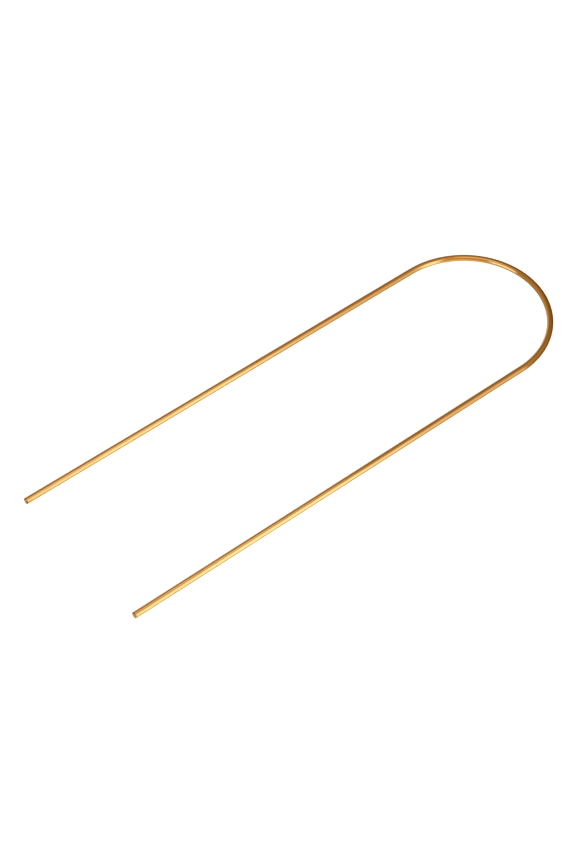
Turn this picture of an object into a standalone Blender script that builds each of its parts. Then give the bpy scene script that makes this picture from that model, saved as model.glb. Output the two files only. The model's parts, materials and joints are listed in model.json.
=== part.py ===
"""A U-shaped cable needle, which holds stitches to one side while a cable is knitted.

It is one length of round brass rod, cut square at both ends and bent once into a half circle, lying flat.
Metres, +Z up. The legs run along X with the bend at +X. The origin is on the surface that the needle lies
on, under the middle of its outline.
"""
import math

import bpy
from mathutils import Vector

# Driving dimensions
ROD_DIAMETER = 0.0015
BEND_RADIUS = 0.020  # of the rod's centreline
LEFT_LEG_LENGTH = 0.110  # straight stretch of the leg at +Y, from the bend to its cut end
RIGHT_LEG_LENGTH = 0.108  # the same at -Y
CUT_EDGE_BREAK = 0.00012  # the sharp edge of each cut end is filed off by this much

# How finely the round shapes are faceted
ROD_SIDES = 24
BEND_SEGMENTS = 60

BRASS_COLOUR = (0.87, 0.56, 0.20, 1.0)
BRASS_ROUGHNESS = 0.22

# Worked out from the dimensions
ROD_RADIUS = ROD_DIAMETER / 2
CUT_FACE_SHARE = 1 - CUT_EDGE_BREAK / ROD_RADIUS  # what the filed edge leaves of the rod's radius
LONGEST_LEG = max(LEFT_LEG_LENGTH, RIGHT_LEG_LENGTH)
BEND_CENTRE = Vector(((LONGEST_LEG - BEND_RADIUS - ROD_RADIUS) / 2, 0, ROD_RADIUS))


def clear_scene():
    for obj in list(bpy.data.objects):
        bpy.data.objects.remove(obj, do_unlink=True)


def new_collection(name):
    collection = bpy.data.collections.new(name)
    bpy.context.scene.collection.children.link(collection)
    return collection


def brass():
    material = bpy.data.materials.new("brass")
    material.use_nodes = True
    shader = material.node_tree.nodes["Principled BSDF"]
    shader.inputs["Base Color"].default_value = BRASS_COLOUR
    shader.inputs["Metallic"].default_value = 1.0
    shader.inputs["Roughness"].default_value = BRASS_ROUGHNESS
    return material


def leg_rings(side, length):
    """The (centre, share of the full radius) of the two rings at a leg's cut end, the outermost first."""
    bend_end = BEND_CENTRE + Vector((0, side * BEND_RADIUS, 0))
    cut_face = (bend_end - Vector((length, 0, 0)), CUT_FACE_SHARE)
    filed_edge = (bend_end - Vector((length - CUT_EDGE_BREAK, 0, 0)), 1.0)
    return [cut_face, filed_edge]


def bend_rings():
    """The same for the half circle, from the left leg round to the right one."""
    rings = []
    for i in range(BEND_SEGMENTS + 1):
        angle = math.pi * (0.5 - i / BEND_SEGMENTS)
        outwards = Vector((math.cos(angle), math.sin(angle), 0))
        rings.append((BEND_CENTRE + BEND_RADIUS * outwards, 1.0))
    return rings


def needle_rod(collection, material):
    """The whole needle: one rod with an even round section and a filed edge round each cut end."""
    curve = bpy.data.curves.new("needle_rod", "CURVE")
    curve.dimensions = "3D"
    curve.fill_mode = "FULL"
    curve.twist_mode = "Z_UP"
    curve.bevel_depth = ROD_RADIUS
    curve.bevel_resolution = (ROD_SIDES - 4) // 2
    curve.use_fill_caps = True
    rings = leg_rings(1, LEFT_LEG_LENGTH) + bend_rings() + leg_rings(-1, RIGHT_LEG_LENGTH)[::-1]
    spline = curve.splines.new("POLY")
    spline.points.add(len(rings) - 1)
    for point, (centre, share) in zip(spline.points, rings):
        point.co = (*centre, 1.0)
        point.radius = share
    curve.materials.append(material)
    rod = bpy.data.objects.new("needle_rod", curve)
    collection.objects.link(rod)
    return rod


clear_scene()
needle_rod(new_collection("cable_needle"), brass())
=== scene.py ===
"""The finished look of a U-shaped brass cable needle, on a plain white table in soft studio light."""
import json
import math

import bpy
from mathutils import Matrix, Vector


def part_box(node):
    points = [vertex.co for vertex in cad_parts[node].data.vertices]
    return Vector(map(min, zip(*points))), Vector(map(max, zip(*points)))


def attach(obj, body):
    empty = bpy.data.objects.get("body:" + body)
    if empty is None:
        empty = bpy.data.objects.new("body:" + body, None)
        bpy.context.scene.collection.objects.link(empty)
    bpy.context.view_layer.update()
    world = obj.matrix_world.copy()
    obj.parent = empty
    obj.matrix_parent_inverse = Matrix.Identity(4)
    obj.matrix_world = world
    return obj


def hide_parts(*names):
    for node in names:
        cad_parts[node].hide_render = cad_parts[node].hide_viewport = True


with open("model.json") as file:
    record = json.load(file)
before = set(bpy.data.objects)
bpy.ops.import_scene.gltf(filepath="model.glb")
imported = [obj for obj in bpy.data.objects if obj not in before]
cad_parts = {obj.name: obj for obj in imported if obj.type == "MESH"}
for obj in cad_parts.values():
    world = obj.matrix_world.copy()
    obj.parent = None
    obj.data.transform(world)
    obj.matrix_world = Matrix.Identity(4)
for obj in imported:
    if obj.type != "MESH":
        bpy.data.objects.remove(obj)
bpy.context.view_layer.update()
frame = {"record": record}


# ---------------------------------------------------------------------------------------------------------
# The needle. One length of round brass wire rod, drawn through a die, sawn square at both ends, its sharp
# edges filed round, then bent cold round a mandrel into a half circle and polished. It has no other piece.
# Like the real one, it is made straight first and then bent, so that its grain follows the rod.

MM = 0.001

rod_lowest, rod_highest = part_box("needle_rod")
cut_ends = {mount["name"]: Vector(mount["pos_m"]) for mount in frame["record"]["mounts"]}

ROD_DIAMETER = rod_highest.z - rod_lowest.z
BEND_RADIUS = (rod_highest.y - rod_lowest.y - ROD_DIAMETER) / 2
BEND_CENTRE_X = rod_highest.x - ROD_DIAMETER / 2 - BEND_RADIUS
LEFT_LEG_LENGTH = BEND_CENTRE_X - cut_ends["left_leg_end"].x
RIGHT_LEG_LENGTH = BEND_CENTRE_X - cut_ends["right_leg_end"].x
ROD_LENGTH = LEFT_LEG_LENGTH + math.pi * BEND_RADIUS + RIGHT_LEG_LENGTH
FILED_EDGE_RADIUS = 0.12 * MM
FILED_EDGE_RINGS = 6
RING_SPACING = 0.4 * MM
ROD_SIDES = 64

BRASS = "#F6D491"
TARNISHED_BRASS = "#F0CA86"
SAWN_BRASS = "#F2DDA4"
# A darker brown: painted shade in the rim round each cut.
PAINTED_EDGE_SHADE = "#9A6A34"
BRASS_ROUGHNESS = 0.15
TARNISH_ROUGHNESS = 0.19
SAWN_ROUGHNESS = 0.38
DIE_LINE_SPACING = 0.16 * MM
DIE_LINE_DEPTH = 0.006 * MM
TARNISH_PATCH_WIDTH = 1.4 * MM
SCRATCH_WIDTH = 0.12 * MM
SAW_MARK_SPACING = 0.18 * MM
SAW_MARK_DEPTH = 0.012 * MM
# How far from each cut the painted shade reaches.
EDGE_SHADE_REACH = 0.45 * MM

# The width of each kind of mark as a share of its length.
DIE_LINE_SHARE = 0.02
TARNISH_PATCH_SHARE = 0.12
SCRATCH_SHARE = 0.06
SAW_MARK_SHARE = 0.05
SCRATCH_SLANT = (0, 0.5, 0.6)

# The noise values, from 0 to 1, at which each kind of mark begins and is at its strongest.
TARNISH_BEGINS = 0.45
TARNISH_STRONGEST = 0.75
SCRATCH_BEGINS = 0.70
SCRATCH_STRONGEST = 0.76
# Where the painted shade round each cut begins and is at its strongest.
EDGE_SHADE_BEGINS = 0.35
EDGE_SHADE_STRONGEST = 0.6


def hex_colour(text):
    """An sRGB colour such as #D9A24A as the linear RGBA that shaders take."""
    shares = [int(text[i : i + 2], 16) / 255 for i in (1, 3, 5)]
    return (*[c / 12.92 if c <= 0.04045 else ((c + 0.055) / 1.055) ** 2.4 for c in shares], 1.0)


def add_node(tree, kind, *values, **given):
    """A node in the tree. Values go to its first sockets, capitalised names to the sockets they name, and
    lower-case names to its settings. A node given as a value means its first output."""
    node = tree.nodes.new(kind)
    for name, value in given.items():
        if name[0].islower():
            setattr(node, name, value)
    named = {name.replace("_", " "): value for name, value in given.items() if not name[0].islower()}
    for socket, value in [*enumerate(values), *named.items()]:
        if isinstance(value, bpy.types.Node):
            value = value.outputs[0]
        if isinstance(value, bpy.types.NodeSocket):
            tree.links.new(value, node.inputs[socket])
        else:
            node.inputs[socket].default_value = value
    return node


def bent_rod_nodes(sizes, material):
    """Geometry Nodes that sweep a straight rod with filed ends and then bend it into a U."""
    tree = bpy.data.node_groups.new("bent_rod", "GeometryNodeTree")
    for name, (kind, _) in sizes.items():
        tree.interface.new_socket(name, in_out="INPUT", socket_type=kind)
    tree.interface.new_socket("Geometry", in_out="OUTPUT", socket_type="NodeSocketGeometry")
    given = add_node(tree, "NodeGroupInput").outputs
    maths = "ShaderNodeMath"
    radius = add_node(tree, maths, given["Rod Diameter"], 2, operation="DIVIDE")
    bend_length = add_node(tree, maths, given["Bend Radius"], math.pi, operation="MULTIPLY")
    legs_length = add_node(tree, maths, given["Left Leg Length"], given["Right Leg Length"], operation="ADD")
    length = add_node(tree, maths, legs_length, bend_length, operation="ADD")
    edge = given["Filed Edge Radius"]
    rings = given["Rings"]
    edge_rings = given["Filed Edge Rings"]

    # Ring stations: a few round each filed edge, closer together, and the others evenly along the rod.
    last = add_node(tree, maths, rings, 1, operation="SUBTRACT")
    from_start = add_node(tree, "GeometryNodeInputIndex")
    from_end = add_node(tree, maths, last, from_start, operation="SUBTRACT")
    start_share = add_node(tree, maths, from_start, edge_rings, operation="DIVIDE", use_clamp=True)
    end_share = add_node(tree, maths, from_end, edge_rings, operation="DIVIDE", use_clamp=True)
    start_turn = add_node(tree, maths, start_share, math.pi / 2, operation="MULTIPLY")
    end_turn = add_node(tree, maths, end_share, math.pi / 2, operation="MULTIPLY")
    start_cosine = add_node(tree, maths, start_turn, operation="COSINE")
    end_cosine = add_node(tree, maths, end_turn, operation="COSINE")
    rounding = add_node(tree, maths, end_cosine, start_cosine, operation="SUBTRACT")
    body_rings = add_node(tree, maths, edge_rings, -2, last, operation="MULTIPLY_ADD")
    past_edge = add_node(tree, maths, from_start, edge_rings, operation="SUBTRACT")
    body_share = add_node(tree, maths, past_edge, body_rings, operation="DIVIDE", use_clamp=True)
    body_length = add_node(tree, maths, edge, -2, length, operation="MULTIPLY_ADD")
    edge_station = add_node(tree, maths, rounding, edge, edge, operation="MULTIPLY_ADD")
    station = add_node(tree, maths, body_share, body_length, edge_station, operation="MULTIPLY_ADD")
    least_turn = add_node(tree, maths, start_turn, end_turn, operation="MINIMUM")
    fullness = add_node(tree, maths, least_turn, operation="SINE")
    full_share = add_node(tree, maths, fullness, -1, operation="ADD")
    edge_share = add_node(tree, maths, edge, radius, operation="DIVIDE")
    ring_share = add_node(tree, maths, full_share, edge_share, 1, operation="MULTIPLY_ADD")

    line = add_node(tree, "GeometryNodeCurvePrimitiveLine", End=(1, 0, 0))
    line = add_node(tree, "GeometryNodeResampleCurve", Curve=line, Count=rings)
    place = add_node(tree, "ShaderNodeCombineXYZ", X=station)
    line = add_node(tree, "GeometryNodeSetPosition", Geometry=line, Position=place)
    circle = add_node(tree, "GeometryNodeCurvePrimitiveCircle", Resolution=given["Sides"], Radius=radius)
    rod = add_node(
        tree, "GeometryNodeCurveToMesh", Curve=line, Profile_Curve=circle, Scale=ring_share, Fill_Caps=True
    )

    # What the material reads: where a point was on the straight rod, and which faces are sawn.
    position = add_node(tree, "GeometryNodeInputPosition")
    rod = add_node(
        tree, "GeometryNodeStoreNamedAttribute", Geometry=rod, Name="straight_rod", Value=position,
        data_type="FLOAT_VECTOR", domain="POINT",
    )
    normal = add_node(tree, "ShaderNodeSeparateXYZ", add_node(tree, "GeometryNodeInputNormal"))
    faces_along = add_node(tree, maths, normal.outputs["X"], operation="ABSOLUTE")
    is_sawn = add_node(tree, maths, faces_along, 0.999, operation="GREATER_THAN")
    rod = add_node(
        tree, "GeometryNodeStoreNamedAttribute", Geometry=rod, Name="sawn_face", Value=is_sawn,
        data_type="FLOAT", domain="FACE",
    )
    is_round = add_node(tree, maths, 1, is_sawn, operation="SUBTRACT")
    rod = add_node(tree, "GeometryNodeSetShadeSmooth", Geometry=rod, Shade_Smooth=is_round)

    # The bend: what lies past the left leg turns about the bend's centre, and the rest runs back straight.
    straight = add_node(tree, "ShaderNodeSeparateXYZ", position).outputs
    past_leg = add_node(tree, maths, straight["X"], given["Left Leg Length"], operation="SUBTRACT")
    bend_share = add_node(tree, maths, past_leg, bend_length, operation="DIVIDE", use_clamp=True)
    angle = add_node(tree, maths, bend_share, math.pi, operation="MULTIPLY")
    before_bend = add_node(tree, maths, past_leg, 0, operation="MINIMUM")
    past_bend = add_node(tree, maths, past_leg, bend_length, operation="SUBTRACT")
    after_bend = add_node(tree, maths, past_bend, 0, operation="MAXIMUM")
    run_straight = add_node(tree, maths, before_bend, after_bend, operation="SUBTRACT")
    centre_x = add_node(tree, maths, given["Bend Centre X"], run_straight, operation="ADD")
    reach = add_node(tree, maths, given["Bend Radius"], straight["Y"], operation="ADD")
    sine = add_node(tree, maths, angle, operation="SINE")
    cosine = add_node(tree, maths, angle, operation="COSINE")
    bent_x = add_node(tree, maths, reach, sine, centre_x, operation="MULTIPLY_ADD")
    bent_y = add_node(tree, maths, reach, cosine, operation="MULTIPLY")
    bent_z = add_node(tree, maths, straight["Z"], radius, operation="ADD")
    bent = add_node(tree, "ShaderNodeCombineXYZ", bent_x, bent_y, bent_z)
    rod = add_node(tree, "GeometryNodeSetPosition", Geometry=rod, Position=bent)
    rod = add_node(tree, "GeometryNodeRealizeInstances", rod)
    rod = add_node(tree, "GeometryNodeSetMaterial", Geometry=rod, Material=material)
    add_node(tree, "NodeGroupOutput", rod)
    return tree


def made_by_nodes(name, tree, values):
    """The mesh object that a Geometry Nodes tree makes with these input values, with no modifier left."""
    maker = bpy.data.objects.new(name + "_maker", bpy.data.meshes.new(name + "_maker"))
    bpy.context.scene.collection.objects.link(maker)
    modifier = maker.modifiers.new("maker", "NODES")
    modifier.node_group = tree
    for item in tree.interface.items_tree:
        if item.in_out == "INPUT":
            modifier[item.identifier] = values[item.name]
    evaluated = maker.evaluated_get(bpy.context.evaluated_depsgraph_get())
    mesh = bpy.data.meshes.new_from_object(evaluated)
    bpy.data.objects.remove(maker, do_unlink=True)
    mesh.name = name
    piece = bpy.data.objects.new(name, mesh)
    bpy.context.scene.collection.objects.link(piece)
    return piece


def drawn_polished_brass():
    """Brass rod, drawn and polished. The eye sees warm yellow metal with crisp ends to its reflections,
    softened across the rod by fine lines from the die, a little browner where handling has tarnished it,
    paler and duller where it is sawn, and darker in a rim round each cut, which is painted shade."""
    material = bpy.data.materials.new("drawn_polished_brass")
    material.use_nodes = True
    tree = material.node_tree
    shader = tree.nodes["Principled BSDF"]
    shader.inputs["Metallic"].default_value = 1.0
    maths = "ShaderNodeMath"
    on_rod = add_node(tree, "ShaderNodeAttribute", attribute_name="straight_rod").outputs["Vector"]
    sawn = add_node(tree, "ShaderNodeAttribute", attribute_name="sawn_face").outputs["Fac"]

    # Die lines run along the rod. The real ones are about 0.03 mm apart, drawn coarser so that they show.
    stretched = add_node(tree, "ShaderNodeVectorMath", on_rod, (DIE_LINE_SHARE, 1, 1), operation="MULTIPLY")
    die_lines = add_node(tree, "ShaderNodeTexNoise", Vector=stretched, Scale=1 / DIE_LINE_SPACING, Detail=2)

    # Tarnish lies in soft patches a few millimetres long where fingers have been.
    patch_share = (TARNISH_PATCH_SHARE, 1, 1)
    patch_place = add_node(tree, "ShaderNodeVectorMath", on_rod, patch_share, operation="MULTIPLY")
    patches = add_node(
        tree, "ShaderNodeTexNoise", Vector=patch_place, Scale=1 / TARNISH_PATCH_WIDTH, Detail=4
    )
    tarnish = add_node(
        tree, "ShaderNodeMapRange", Value=patches, From_Min=TARNISH_BEGINS, From_Max=TARNISH_STRONGEST,
        interpolation_type="SMOOTHSTEP",
    )

    # A few scratches from use cross the rod on a slant. The real ones are about 0.02 mm wide, drawn wider so
    # that they show.
    slant = add_node(
        tree, "ShaderNodeMapping", on_rod, Rotation=SCRATCH_SLANT, Scale=(SCRATCH_SHARE, 1, 1)
    )
    scratch_noise = add_node(tree, "ShaderNodeTexNoise", Vector=slant, Scale=1 / SCRATCH_WIDTH, Detail=1)
    scratches = add_node(
        tree, "ShaderNodeMapRange", Value=scratch_noise, From_Min=SCRATCH_BEGINS, From_Max=SCRATCH_STRONGEST
    )

    # Painted shade: a darker brown in the corner round each cut, broken up by the tarnish noise.
    along = add_node(tree, "ShaderNodeSeparateXYZ", on_rod).outputs["X"]
    from_right_end = add_node(tree, maths, ROD_LENGTH, along, operation="SUBTRACT")
    from_cut = add_node(tree, maths, along, from_right_end, operation="MINIMUM")
    near_cut = add_node(tree, "ShaderNodeMapRange", Value=from_cut, From_Min=EDGE_SHADE_REACH, From_Max=0)
    not_sawn = add_node(tree, maths, 1, sawn, operation="SUBTRACT")
    shade_round_cut = add_node(tree, maths, near_cut, not_sawn, operation="MULTIPLY")
    broken_up = add_node(
        tree, "ShaderNodeMapRange", Value=patches, From_Min=EDGE_SHADE_BEGINS, From_Max=EDGE_SHADE_STRONGEST
    )
    painted_edge_shade = add_node(tree, maths, shade_round_cut, broken_up, operation="MULTIPLY")

    polished = add_node(tree, "ShaderNodeMixRGB", tarnish, hex_colour(BRASS), hex_colour(TARNISHED_BRASS))
    with_cut = add_node(tree, "ShaderNodeMixRGB", sawn, polished, hex_colour(SAWN_BRASS))
    # The darker brown mixed in here is painted shade round each cut.
    colour = add_node(tree, "ShaderNodeMixRGB", painted_edge_shade, with_cut, hex_colour(PAINTED_EDGE_SHADE))
    tree.links.new(colour.outputs[0], shader.inputs["Base Color"])

    # Tarnish and scratches dull the polish a little, and the saw dulls its faces much more.
    worn = add_node(tree, maths, tarnish, scratches, operation="MAXIMUM")
    rod_roughness = add_node(
        tree, "ShaderNodeMapRange", Value=worn, To_Min=BRASS_ROUGHNESS, To_Max=TARNISH_ROUGHNESS
    )
    added_by_saw = SAWN_ROUGHNESS - BRASS_ROUGHNESS
    roughness = add_node(tree, maths, sawn, added_by_saw, rod_roughness, operation="MULTIPLY_ADD")
    tree.links.new(roughness.outputs[0], shader.inputs["Roughness"])

    # Die lines stand up along the rod, scratches cut into it, and saw marks lie side by side on its ends.
    saw_share = (0, SAW_MARK_SHARE, 1)
    saw_place = add_node(tree, "ShaderNodeVectorMath", on_rod, saw_share, operation="MULTIPLY")
    saw_marks = add_node(tree, "ShaderNodeTexNoise", Vector=saw_place, Scale=1 / SAW_MARK_SPACING, Detail=1)
    saw_height = add_node(tree, maths, saw_marks, sawn, operation="MULTIPLY")
    line_height = add_node(tree, maths, die_lines, not_sawn, operation="MULTIPLY")
    lined = add_node(tree, "ShaderNodeBump", Height=line_height, Distance=DIE_LINE_DEPTH)
    scored = add_node(
        tree, "ShaderNodeBump", Height=scratches, Distance=DIE_LINE_DEPTH, Normal=lined, invert=True
    )
    cut = add_node(tree, "ShaderNodeBump", Height=saw_height, Distance=SAW_MARK_DEPTH, Normal=scored)
    tree.links.new(cut.outputs[0], shader.inputs["Normal"])
    return material


brass = drawn_polished_brass()
rod_sizes = {
    "Rod Diameter": ("NodeSocketFloat", ROD_DIAMETER),
    "Bend Radius": ("NodeSocketFloat", BEND_RADIUS),
    "Bend Centre X": ("NodeSocketFloat", BEND_CENTRE_X),
    "Left Leg Length": ("NodeSocketFloat", LEFT_LEG_LENGTH),
    "Right Leg Length": ("NodeSocketFloat", RIGHT_LEG_LENGTH),
    "Filed Edge Radius": ("NodeSocketFloat", FILED_EDGE_RADIUS),
    "Filed Edge Rings": ("NodeSocketInt", FILED_EDGE_RINGS),
    "Rings": ("NodeSocketInt", round(ROD_LENGTH / RING_SPACING) + 2 * FILED_EDGE_RINGS),
    "Sides": ("NodeSocketInt", ROD_SIDES),
}
rod_tree = bent_rod_nodes(rod_sizes, brass)
needle = made_by_nodes("bent_brass_rod", rod_tree, {name: value for name, (_, value) in rod_sizes.items()})
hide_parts("needle_rod")
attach(needle, "root")


# ---------------------------------------------------------------------------------------------------------
# The studio: a plain white lit table in a warm, dim room, with two tall soft boxes on the camera's right, a
# small one on its left and one overhead. The table is a light box top, so it shows evenly white. It isn't
# mirrored in the metal, and warm glows low in the room stand in for its reflection there.

TABLE_SIZE = 3.0
TABLE_WHITE = "#D8D8D8"
TABLE_ROUGHNESS = 0.8
TABLE_GLOW = 0.95
COOL_LIGHT = "#BFF0FF"
WHITE_LIGHT = "#FFFFFF"
DAYLIGHT = "#F0F8FF"
TABLE_LIGHT = "#FFE6B4"
ROOM_LIGHT = "#FFC07C"

table_mesh = bpy.data.meshes.new("table")
half = TABLE_SIZE / 2
table_mesh.from_pydata(
    [(-half, -half, 0), (half, -half, 0), (half, half, 0), (-half, half, 0)], [], [(0, 1, 2, 3)]
)
table = bpy.data.objects.new("table", table_mesh)
bpy.context.scene.collection.objects.link(table)
table.visible_glossy = False
table.visible_shadow = False
lit_white = bpy.data.materials.new("lit_white_acrylic")
lit_white.use_nodes = True
table_shader = lit_white.node_tree.nodes["Principled BSDF"]
table_shader.inputs["Base Color"].default_value = hex_colour(TABLE_WHITE)
table_shader.inputs["Roughness"].default_value = TABLE_ROUGHNESS
table_shader.inputs["Emission Color"].default_value = hex_colour(WHITE_LIGHT)
table_shader.inputs["Emission Strength"].default_value = TABLE_GLOW
table_mesh.materials.append(lit_white)


def direction(azimuth, elevation):
    """The unit vector at these angles in degrees. Azimuth is from +X towards +Y."""
    around, above = math.radians(azimuth), math.radians(elevation)
    return Vector((math.cos(around) * math.cos(above), math.sin(around) * math.cos(above), math.sin(above)))


def facing(position, target):
    """The turn that points an object's -Z from position at target, with its Y up."""
    return (target - position).to_track_quat("-Z", "Y")


def soft_box(name, azimuth, elevation, distance, width, height, brightness, colour):
    """A rectangular light at these angles from the needle and aimed at it, which shines evenly with this
    brightness."""
    data = bpy.data.lights.new(name, "AREA")
    data.shape = "RECTANGLE"
    data.size = width
    data.size_y = height
    data.energy = brightness * math.pi * width * height
    data.color = hex_colour(colour)[:3]
    light = bpy.data.objects.new(name, data)
    light.location = distance * direction(azimuth, elevation)
    light.rotation_mode = "QUATERNION"
    light.rotation_quaternion = facing(light.location, Vector((0, 0, 0)))
    bpy.context.scene.collection.objects.link(light)
    return light


soft_box("right_soft_box", -78, 3, 0.30, 0.13, 0.60, 0.70, COOL_LIGHT)
soft_box("far_right_soft_box", -70, 12, 0.40, 0.25, 0.70, 0.42, WHITE_LIGHT)
soft_box("left_soft_box", 182, 11, 0.22, 0.16, 0.23, 1.20, DAYLIGHT)
soft_box("overhead_soft_box", -124, 89, 0.15, 0.10, 0.10, 0.40, WHITE_LIGHT)

# The room's own light, a soft glow round each of these: azimuth, elevation, tightness, brightness, colour.
ROOM_GLOWS = {
    "table_in_front": (-120, -60, 3, 0.8, TABLE_LIGHT),
    "table_behind": (80, -10, 8, 0.75, TABLE_LIGHT),
    "table_left": (150, -30, 4, 0.2, TABLE_LIGHT),
    "ceiling": (0, 90, 3, 0.3, ROOM_LIGHT),
    "wall_in_front": (-120, 20, 2, 0.5, ROOM_LIGHT),
    "wall_left": (120, 20, 4, 0.3, ROOM_LIGHT),
    "wall_right": (-30, 40, 4, 0.25, ROOM_LIGHT),
}

world = bpy.data.worlds.new("studio_room")
world.use_nodes = True
room = world.node_tree
background = room.nodes["Background"]
seen_from = add_node(room, "ShaderNodeTexCoord").outputs["Generated"]
all_glows = (0, 0, 0)
for azimuth, elevation, tightness, brightness, colour in ROOM_GLOWS.values():
    middle = direction(azimuth, elevation)
    nearness = add_node(room, "ShaderNodeVectorMath", seen_from, middle, operation="DOT_PRODUCT")
    fall = add_node(
        room, "ShaderNodeMath", nearness.outputs["Value"], tightness, -tightness, operation="MULTIPLY_ADD"
    )
    share = add_node(room, "ShaderNodeMath", fall, operation="EXPONENT")
    tint = [c * brightness for c in hex_colour(colour)[:3]]
    glow = add_node(room, "ShaderNodeVectorMath", tint, Scale=share, operation="SCALE")
    all_glows = add_node(room, "ShaderNodeVectorMath", all_glows, glow, operation="ADD")

# The camera sees plain white past the table's edge, and the metal sees the glows.
is_seen = add_node(room, "ShaderNodeLightPath").outputs["Is Camera Ray"]
room_colour = add_node(room, "ShaderNodeMixRGB", is_seen, all_glows, hex_colour(WHITE_LIGHT))
room.links.new(room_colour.outputs[0], background.inputs["Color"])
bpy.context.scene.world = world

CAMERA_TARGET = Vector((-0.00837, -0.00094, 0.00075))
CAMERA_AZIMUTH = math.radians(-33.75)
CAMERA_ELEVATION = math.radians(51.23)
CAMERA_DISTANCE = 0.4201
CAMERA_ROLL = math.radians(-4.14)
FOCAL_LENGTH_MM = 77.5
SENSOR_WIDTH_MM = 36

camera_data = bpy.data.cameras.new("camera")
camera_data.sensor_width = SENSOR_WIDTH_MM
camera_data.lens = FOCAL_LENGTH_MM
camera_data.clip_start = 0.01
camera = bpy.data.objects.new("camera", camera_data)
level = math.cos(CAMERA_ELEVATION)
from_target = Vector((
    math.sin(CAMERA_AZIMUTH) * level,
    -math.cos(CAMERA_AZIMUTH) * level,
    math.sin(CAMERA_ELEVATION),
))
camera.location = CAMERA_TARGET + CAMERA_DISTANCE * from_target
turn = facing(camera.location, CAMERA_TARGET).to_matrix() @ Matrix.Rotation(CAMERA_ROLL, 3, "Z")
camera.rotation_mode = "QUATERNION"
camera.rotation_quaternion = turn.to_quaternion()
bpy.context.scene.collection.objects.link(camera)
bpy.context.scene.camera = camera

bpy.context.scene.view_settings.view_transform = "Standard"
